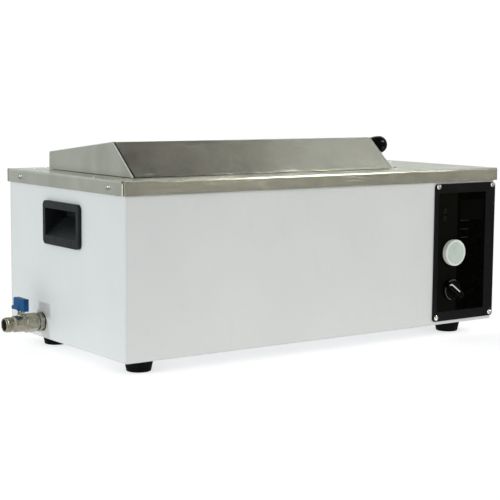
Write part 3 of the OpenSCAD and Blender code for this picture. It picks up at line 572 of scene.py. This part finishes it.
# Places along the drain pipe are millimetres out from the case wall, as in the CAD part
_, valve_low, valve_high = middle_of("valve_body")
HEX_R, HEX_FROM, VALVE_REACH, BALL_AT = 13.5, 10, 58, 32
valve_axis = axes_at(
    (valve_high.x + HEX_FROM * MM, (valve_low.y + valve_high.y) / 2, valve_low.z + HEX_R * MM),
    (-1, 0, 0), (0, 0, 1))
stem_axis = axes_at(valve_axis @ Vector((0, 0, BALL_AT * MM)), (0, 0, 1), (-1, 0, 0))


def make_valve():
    """Cast and machined body: hexagon, bulged barrel, helical thread and open mouth."""
    crest, root, pitch, thread_from, lip_from, bore = 10.45, 9.35, 1.814, 47, 56, 7.8

    def thread(height):
        def radius(angle):
            turn = ((height - thread_from) / pitch - angle / math.tau) % 1
            grown = min(1, (height - thread_from) / 1.2, (lip_from - height) / 1.0)
            return root + (crest - root) * max(0, grown) * min(1, 1.35 * (1 - abs(2 * turn - 1)))
        return radius

    cap = HEX_R * 0.93
    rows = [(hexagon(HEX_R, cap), HEX_FROM), (hexagon(HEX_R), HEX_FROM + 1.2)]
    rows += [(hexagon(HEX_R), 25.6), (hexagon(HEX_R, cap), 26.8), (11.7, 27.4)]
    rows += eased([
        (11.3, 28, 0), (11.6, 29.5, 1), (11.6, 38, 3), (11.3, 44, 1), (10.2, 45, 0.8),
        (root, 45.6, 0.4), (root, thread_from, 0)])
    steps = 60
    rows += [(thread(h), h) for h in (
        thread_from + (lip_from - thread_from) * k / steps for k in range(1, steps))]
    rows += eased([
        (9.5, lip_from, 0), (9.6, 57.2, 0.3), (9.3, VALVE_REACH, 0.3), (8.2, VALVE_REACH, 0.2),
        (bore, 57.5, 0.2), (bore, 41, 0)])
    rows += [(9.1, 41), (9.1, 22.8), (bore, 22.8), (bore, 21.5), (crest, 21.5), (crest, HEX_FROM)]
    work = bmesh.new()
    shell(work, rows, valve_axis, 96, closed=True)
    boss = eased([
        (5, 9.2, 0), (5.6, 11.6, 0.6), (5, 12.2, 0.5), (5, 13.6, 0.5), (3.1, 13.6, 0.2),
        (3.1, 9.2, 0)])
    shell(work, boss, stem_axis, 48, closed=True)
    finish_piece("valve_casting", work, "valve_body")


def make_nuts():
    """The lock nuts on both sides of the case wall and the packing nut under the lever."""
    work = bmesh.new()
    for low in (1.6, -8.8):
        shell(work, hex_nut_rows(14, 10.45, low, low + 6, 0.8), valve_axis, 96, closed=True)
    finish_piece("lock_nut_pair", work, "drain_lock_nuts")
    work = bmesh.new()
    shell(work, hex_nut_rows(5.6, 3.06, 13.7, 16.9, 0.5), stem_axis, 48, closed=True)
    finish_piece("packing_hex", work, "packing_nut")


def make_lever():
    """The butterfly lever: a thick blade with eased edges and a stop lug at its far end."""
    base, half_l, height, half_t = 17.9, 16, 17.4, 4
    lug_l, lug_h = 6, 5.7
    outline = eased([
        (-half_l, 0.3, 0.8), (-half_l, height, 1.2), (half_l - 0.3, height, 1.6), (half_l, lug_h, 0.6),
        (half_l + lug_l, lug_h - 0.5, 1.4), (half_l + lug_l, 0, 1.4), (7, 0.6, 1.5), (5, 0, 0.5),
        (-5, 0, 0.5), (-7, 0.6, 1.5)], closed=True)
    work = bmesh.new()
    verts = [
        work.verts.new(stem_axis @ Vector((-half_t * MM, -u * MM, (base + v) * MM))) for u, v in outline]
    face = work.faces.new(verts)
    drawn = bmesh.ops.extrude_face_region(work, geom=[face])
    shift = stem_axis.to_3x3() @ Vector((2 * half_t * MM, 0, 0))
    bmesh.ops.translate(
        work, vec=shift, verts=[v for v in drawn["geom"] if isinstance(v, bmesh.types.BMVert)])
    rims = [e for e in work.edges if any(len(f.verts) > 4 for f in e.link_faces)]
    bmesh.ops.bevel(work, geom=rims, offset=0.6 * MM, segments=3, profile=0.6, affect="EDGES")
    hub = eased([(3.1, base, 0), (5.6, base, 0.5), (5.6, base + 8, 1), (3.1, base + 8.4, 0)])
    shell(work, hub, stem_axis, 48, closed=True)
    finish_piece("lever_butterfly", work, "valve_lever")


def make_feet():
    """Four tapered rubber feet with rounded shoulders and a recess for the screw."""
    centre, low, high = middle_of("feet")
    height = (high.z - low.z) / MM
    top_r, bottom_r = 20.4, 16.2
    inset_x, inset_y = (high.x - low.x) / 2 - top_r * MM, (high.y - low.y) / 2 - top_r * MM
    rows = eased([
        (2.6, 12, 0), (6.5, 12, 0.5), (6.5, 0, 0.6), (bottom_r, 0, 1.6), (top_r, height - 0.8, 0.6),
        (top_r - 0.6, height, 0.4), (2.6, height, 0)])
    for i, (sx, sy) in enumerate(((-1, -1), (-1, 1), (1, -1), (1, 1))):
        work = bmesh.new()
        at = (centre.x + sx * inset_x, centre.y + sy * inset_y, low.z)
        shell(work, rows, axes_at(at, (0, 0, 1), (1, 0, 0)), 72, closed=True)
        finish_piece(f"tapered_foot_{i + 1}", work, "feet")


def make_dial():
    """The thermostat's turned knob: rear flange, finger groove, rounded front and sunk face."""
    centre, _, high = middle_of("thermostat_knob")
    place = axes_at((centre.x, high.y, centre.z), (0, -1, 0), (0, 0, 1))
    rows = eased([
        (3.05, 0, 0), (19, 0, 0.5), (19, 2.8, 0.8), (16.8, 3.0, 0.3), (16.8, 4.0, 0.3),
        (19.5, 4.2, 0.6), (19.5, 8.6, 1.6), (17.2, 8.6, 0.8), (16.2, 7.7, 0.3), (3.05, 7.7, 0)])
    work = bmesh.new()
    shell(work, rows, place, 128, closed=True)
    finish_piece("thermostat_dial_knob", work, "thermostat_knob")
    face = eased([
        (0.4, 7.5, 0), (16.1, 7.5, 0), (16.1, 7.9, 0.2), (7, 7.85, 0), (6.6, 8.2, 0.3),
        (0.4, 8.2, 0)])
    work = bmesh.new()
    shell(work, face, place, 96)
    finish_piece("dial_face_disc", work, "thermostat_knob", "dial_face", hides=False)


# Angle from upright, towards the left, of the selector's pointing end at rest
BAR_UP = 54


def make_selector():
    """The selector: a chamfered skirt with a rounded grip bar, a white pointer line laid along the bar's
    edge highlight, and grey arcs that are painted rim highlights.
    """
    centre, _, high = middle_of("selector_knob")
    place = axes_at((centre.x, high.y, centre.z), (0, -1, 0), (0, 0, 1))
    work = bmesh.new()
    skirt = eased([
        (3.05, 0, 0), (16.2, 0, 0.4), (16.2, 2.6, 0.5), (15, 4, 0.6), (3.05, 4, 0)])
    shell(work, skirt, place, 96, closed=True)
    bar_place = place @ Matrix.Rotation(math.radians(BAR_UP), 4, "Z")
    half, wide, end = 18.5, 4.5, 4.4
    outline = [
        (sx * (half - end) + end * math.cos(angle), sy * (wide - end) + end * math.sin(angle))
        for sx, sy, start in ((1, 1, 0), (-1, 1, 90), (-1, -1, 180), (1, -1, 270))
        for angle in (math.radians(a) for a in range(start, start + 91, 15))
    ]
    slab(work, outline, 3.5, 12, 1.6, bar_place, steps=5)
    finish_piece("selector_bar_knob", work, "selector_knob")

    work = bmesh.new()
    # White pointer line, partly print and partly painted highlight: it runs along the bar's upper edge
    # and round its end, where the light catches it
    line = eased([
        (-7, -0.9, 0.6), (-7, -2.7, 0.6), (13.2, -2.9, 1.5), (16.8, 0.4, 0.6), (16.3, 2.1, 0.6),
        (12.4, -0.9, 1.2)], closed=True)
    slab(work, line, 11.6, 12.06, 0.1, bar_place, steps=1)
    finish_piece("selector_line_and_highlight", work, "selector_knob", "print_white", hides=False)
    # Grey arcs on the skirt's front: painted highlights where the glossy rim catches the light
    work = bmesh.new()
    for start, end_at, inner in ((-20, 46, 13.9), (74, 166, 14.3)):
        ring_strip(work, inner, 15.2, start, end_at, 3.5, 4.05, place)
    finish_piece("selector_rim_highlights", work, "selector_knob", "print_grey", hides=False)


def make_lid_knob():
    """The lid's black knob: short neck, straight grip and ball end."""
    centre, low, high = middle_of("lid_knob")
    place = axes_at((low.x, centre.y, centre.z), (1, 0, 0), (0, 0, 1))
    radius = (high.z - low.z) / 2 / MM
    length = (high.x - low.x) / MM - radius
    ball = [
        (radius * math.cos(t), length + radius * math.sin(t))
        for t in (math.pi / 2 * k / 16 for k in range(16))
    ]
    crown = 26
    rows = [(3.05, 0), (8.8, 0), (9, 0.4), (9, 1.4)]
    rows += [
        (radius * math.sqrt(1 - ((h - length) / crown) ** 2), h)
        for h in (1.8 + (length - 1.8) * k / 10 for k in range(11))
    ]
    rows += ball[1:] + [(0.4, length + radius), (0.4, 15), (3.05, 15)]
    work = bmesh.new()
    shell(work, rows, place, 96, closed=True)
    finish_piece("lid_ball_knob", work, "lid_knob")


# Corners closer than this, in metres, lie in one plane
SAME_PLACE = 1e-5
# A bead starts this far up its edge, is this much shorter than it, and lies this deep (mm)
BEAD_STARTS, BEAD_SHORTER, BEAD_SUNK = 1.2, 2, 0.9


def lid_outline(node, left):
    """The outer corners of a lid end plate: front foot, apex and top of the back, row frame."""
    plate = frame["nodes"][node]
    corners = [plate.matrix_world @ v.co for v in plate.data.vertices]
    face_x = (min if left else max)(c.x for c in corners)
    outer = [c for c in corners if abs(c.x - face_x) < SAME_PLACE]
    apex = max(outer, key=lambda c: c.z)
    foot = min(outer, key=lambda c: c.y)
    back = max(outer, key=lambda c: (round(c.y, 5), c.z))
    return face_x, [(c.y, c.z) for c in (foot, apex, back)]


def lay_bead(work, start, along, profile, inward):
    """A bead along an edge. Its profile is (height above the edge, way in along X), millimetres."""
    out = Vector((0, -along.z, along.y)).normalized()
    place = axes_at(start + along.normalized() * BEAD_STARTS * MM, along, out)
    ends = [
        [
            work.verts.new(place @ Vector((u * MM, 0, w * MM)) + Vector((inward * v * MM, 0, 0)))
            for u, v in profile
        ]
        for w in (0, along.length / MM - BEAD_SHORTER)
    ]
    count = len(profile)
    for k in range(count):
        n = (k + 1) % count
        work.faces.new((ends[0][k], ends[0][n], ends[1][n], ends[1][k]))
    work.faces.new(ends[0][::-1])
    work.faces.new(ends[1])


def make_lid_seams():
    """The gap strip and the ground weld edge where each end plate meets the lid's roof; on the left the
    strip is painted shade for the shadow in the gap.
    """
    # The left strip is painted shade, dark where the gap lies in shadow; the right one is bright weld
    # metal
    for side, inward, seam_slot, seam_to in (
            ("left", 1, "gap_shade_painted", 3.6), ("right", -1, "weld_edge", 2.2)):
        node = f"lid_end_{side}"
        face_x, outline = lid_outline(node, side == "left")
        for kind, slot, near, far, proud in (
                ("seam", seam_slot, 1.15, seam_to, 0.15), ("edge", "weld_edge", -0.12, 1.1, 0.12)):
            profile = [
                (-BEAD_SUNK, near), (-BEAD_SUNK, far), (proud - 0.25, far), (proud, far - 0.3),
                (proud, near + 0.35), (proud - 0.35, near)]
            work = bmesh.new()
            for (y0, z0), (y1, z1) in zip(outline, outline[1:]):
                along = Vector((0, y1 - y0, z1 - z0))
                lay_bead(work, Vector((face_x, y0, z0)), along, profile, inward)
            finish_piece(f"lid_{kind}_{side}", work, node, slot, hides=False, sharp=60)


def make_panel_marks():
    """Faint plain dashes on the black film; the lettering that such a panel carries is left out."""
    _, low, _ = middle_of("panel_overlay")
    place = axes_at(low, (0, -1, 0), (0, 0, 1))
    work = bmesh.new()
    near, far, thick = -43, -60, 0.8
    for up in (134, 121, 108.7):
        dash = eased([
            (up, near, 0.3), (up, far, 0.3), (up + thick, far, 0.3), (up + thick, near, 0.3),
        ], closed=True)
        slab(work, dash, -0.05, 0.06, 0.02, place, steps=1)
    finish_piece("panel_dashes", work, "panel_overlay", "print_dark", hides=False)


make_valve()
make_nuts()
make_lever()
make_feet()
make_dial()
make_selector()
make_lid_knob()
make_lid_seams()
make_panel_marks()


# ---- stage and light ----


# The floor's radius, and where it fades out: for the eye, and for what mirrors it (metres)
FLOOR_REACH = 3.0
FLOOR_FADE = (0.5, 1.3)
MIRRORED_FADE = (0.33, 0.55)
FLOOR_TONE = (0.74, 0.74, 0.74)
FLOOR_GLOW = 0.58

# A soft edge that grows from nothing to all of it, or fades from all of it to nothing
RISING, FALLING = (0, 1), (1, 0)

# The room that shiny surfaces mirror, by direction: one wall behind the camera turns into the one
# opposite it along Y, the ceiling starts along Z, and its zones follow each other along X
CAMERA_WALL, FAR_WALL, WALL_TURN = (0.48, 0.475, 0.41), (0.73, 0.765, 0.73), (-0.6, 0.2)
CEILING_START = (0.55, 0.8)
CEILING_DARK = (0.155, 0.147, 0.132)
CEILING_ZONES = (
    ((0.585, 0.615), RISING, (0.56, 0.57, 0.525)),
    ((0.2, 0.4), FALLING, (0.5, 0.51, 0.49)),
    ((-0.5, -0.3), FALLING, (1.0, 1.0, 0.96)),
)
# Towards the ground that room keeps only a share of its light
GROUND_SHARE, GROUND_EDGE = (0.45, 1), (-0.35, 0.05)

# Bright patches in the mirrored room: their strength, and each side as the axis of the direction,
# where its soft edge lies, and which way it goes
PATCHES = (
    (2.2, (  # window
        ("X", (0.36, 0.46), RISING), ("X", (0.6, 0.66), FALLING), ("Y", (0.36, 0.5), RISING),
        ("Z", (0.38, 0.5), RISING), ("Z", (0.66, 0.76), FALLING))),
    (4.0, (  # softbox on the left
        ("X", (-0.7, -0.55), FALLING), ("Y", (-0.4, -0.3), FALLING),
        ("Z", (-0.4, -0.2), RISING), ("Z", (0.3, 0.5), FALLING))),
    (200, (  # small lamp that glints in the lid's knob
        ("X", (0.57, 0.59), RISING), ("X", (0.65, 0.67), FALLING), ("Y", (-0.61, -0.59), RISING),
        ("Y", (-0.54, -0.52), FALLING), ("Z", (0.4, 0.46), RISING))),
)

# The even light on matt surfaces from below and from above, and the white that the camera sees
LOW_LIGHT, HIGH_LIGHT, LIGHT_TURN = (0.60, 0.625, 0.625), (0.50, 0.515, 0.515), (-0.2, 0.9)
BACKDROP, BACKDROP_GAIN = (1, 1, 1), 1.02


def make_floor():
    """A round pale floor that fades into the studio's white sweep."""
    mesh = bpy.data.meshes.new("floor")
    work = bmesh.new()
    bmesh.ops.create_circle(work, cap_ends=True, segments=96, radius=FLOOR_REACH)
    work.to_mesh(mesh)
    work.free()
    floor = bpy.data.objects.new("floor", mesh)
    bpy.context.scene.collection.objects.link(floor)
    material = bpy.data.materials.new("floor_pale")
    material.use_nodes = True
    tree = material.node_tree
    tree.nodes.clear()
    coords = tree.nodes.new("ShaderNodeTexCoord")
    away = tree.nodes.new("ShaderNodeVectorMath")
    away.operation = "LENGTH"
    tree.links.new(coords.outputs["Object"], away.inputs[0])
    fade = remap(tree, away.outputs["Value"], FLOOR_FADE, RISING, smooth=True)
    mirrored_fade = remap(tree, away.outputs["Value"], MIRRORED_FADE, RISING)
    ray = tree.nodes.new("ShaderNodeLightPath")
    hidden = combine(tree, "MULTIPLY", mirrored_fade, ray.outputs["Is Glossy Ray"])
    matt = tree.nodes.new("ShaderNodeBsdfDiffuse")
    feed(tree, matt.inputs["Color"], FLOOR_TONE)
    glow = tree.nodes.new("ShaderNodeEmission")
    feed(tree, glow.inputs["Strength"], FLOOR_GLOW)
    lit = tree.nodes.new("ShaderNodeAddShader")
    feed(tree, lit.inputs[0], matt.outputs[0])
    feed(tree, lit.inputs[1], glow.outputs[0])
    clear = tree.nodes.new("ShaderNodeBsdfTransparent")
    mix = tree.nodes.new("ShaderNodeMixShader")
    for socket, source in zip(
            mix.inputs, (combine(tree, "MAXIMUM", fade, hidden), lit.outputs[0], clear.outputs[0])):
        feed(tree, socket, source)
    out = tree.nodes.new("ShaderNodeOutputMaterial")
    feed(tree, out.inputs["Surface"], mix.outputs[0])
    mesh.materials.append(material)


def make_world():
    """A white studio: plain even light, and a sweep with a darker ceiling for what shines."""
    world = bpy.data.worlds.new("studio")
    bpy.context.scene.world = world
    world.use_nodes = True
    world.cycles.sampling_method = "NONE"
    tree = world.node_tree
    tree.nodes.clear()
    coords = tree.nodes.new("ShaderNodeTexCoord")
    ways = tree.nodes.new("ShaderNodeSeparateXYZ")
    feed(tree, ways.inputs[0], coords.outputs["Generated"])

    def edge(axis, where, change):
        return remap(tree, ways.outputs[axis], where, change, smooth=True)

    def background(colour, strength):
        made = tree.nodes.new("ShaderNodeBackground")
        feed(tree, made.inputs["Color"], colour)
        feed(tree, made.inputs["Strength"], strength)
        return made.outputs[0]

    walls = mix_colours(tree, edge("Y", WALL_TURN, RISING), CAMERA_WALL, FAR_WALL)
    ceiling = CEILING_DARK
    for where, way, tone in CEILING_ZONES:
        ceiling = mix_colours(tree, edge("X", where, way), ceiling, tone)
    room = mix_colours(tree, edge("Z", CEILING_START, RISING), walls, ceiling)
    light = 1
    for gain, sides in PATCHES:
        patch = gain
        for side in sides:
            patch = combine(tree, "MULTIPLY", patch, edge(*side))
        light = combine(tree, "ADD", light, patch)
    kept = edge("Z", GROUND_EDGE, GROUND_SHARE)
    mirrored = background(room, combine(tree, "MULTIPLY", kept, light))
    upward = edge("Z", LIGHT_TURN, RISING)
    last = background(mix_colours(tree, upward, LOW_LIGHT, HIGH_LIGHT), 1.0)
    backdrop = background(BACKDROP, BACKDROP_GAIN)
    ray = tree.nodes.new("ShaderNodeLightPath")
    for kind, shader in (("Is Glossy Ray", mirrored), ("Is Camera Ray", backdrop)):
        mix = tree.nodes.new("ShaderNodeMixShader")
        for socket, source in zip(mix.inputs, (ray.outputs[kind], last, shader)):
            feed(tree, socket, source)
        last = mix.outputs[0]
    out = tree.nodes.new("ShaderNodeOutputWorld")
    feed(tree, out.inputs["Surface"], last)


def soft_light(name, at, target, size, power, colour, mirrored):
    """A rectangular lamp at a place, turned to a target, that shiny surfaces may mirror."""
    data = bpy.data.lights.new(name, "AREA")
    data.shape = "RECTANGLE"
    data.size, data.size_y = size
    data.energy, data.color = power, colour
    light = bpy.data.objects.new(name, data)
    aim = Vector(target) - Vector(at)
    light.visible_glossy = mirrored
    light.matrix_world = Matrix.Translation(at) @ aim.to_track_quat("-Z", "Y").to_matrix().to_4x4()
    bpy.context.scene.collection.objects.link(light)


make_camera()
make_floor()
make_world()
soft_light(
    "key", at=(-2.25, 0.51, 0.62), target=(-0.25, 0.05, 0.12), size=(0.14, 0.14), power=12.5,
    colour=(0.84, 0.96, 1.0), mirrored=True)
soft_light(
    "fill", at=(1.2, -2.4, 1.3), target=(0.1, 0, 0.12), size=(1.6, 1.2), power=14,
    colour=(1.0, 0.99, 0.96), mirrored=False)
bpy.context.scene.view_settings.view_transform = "Standard"
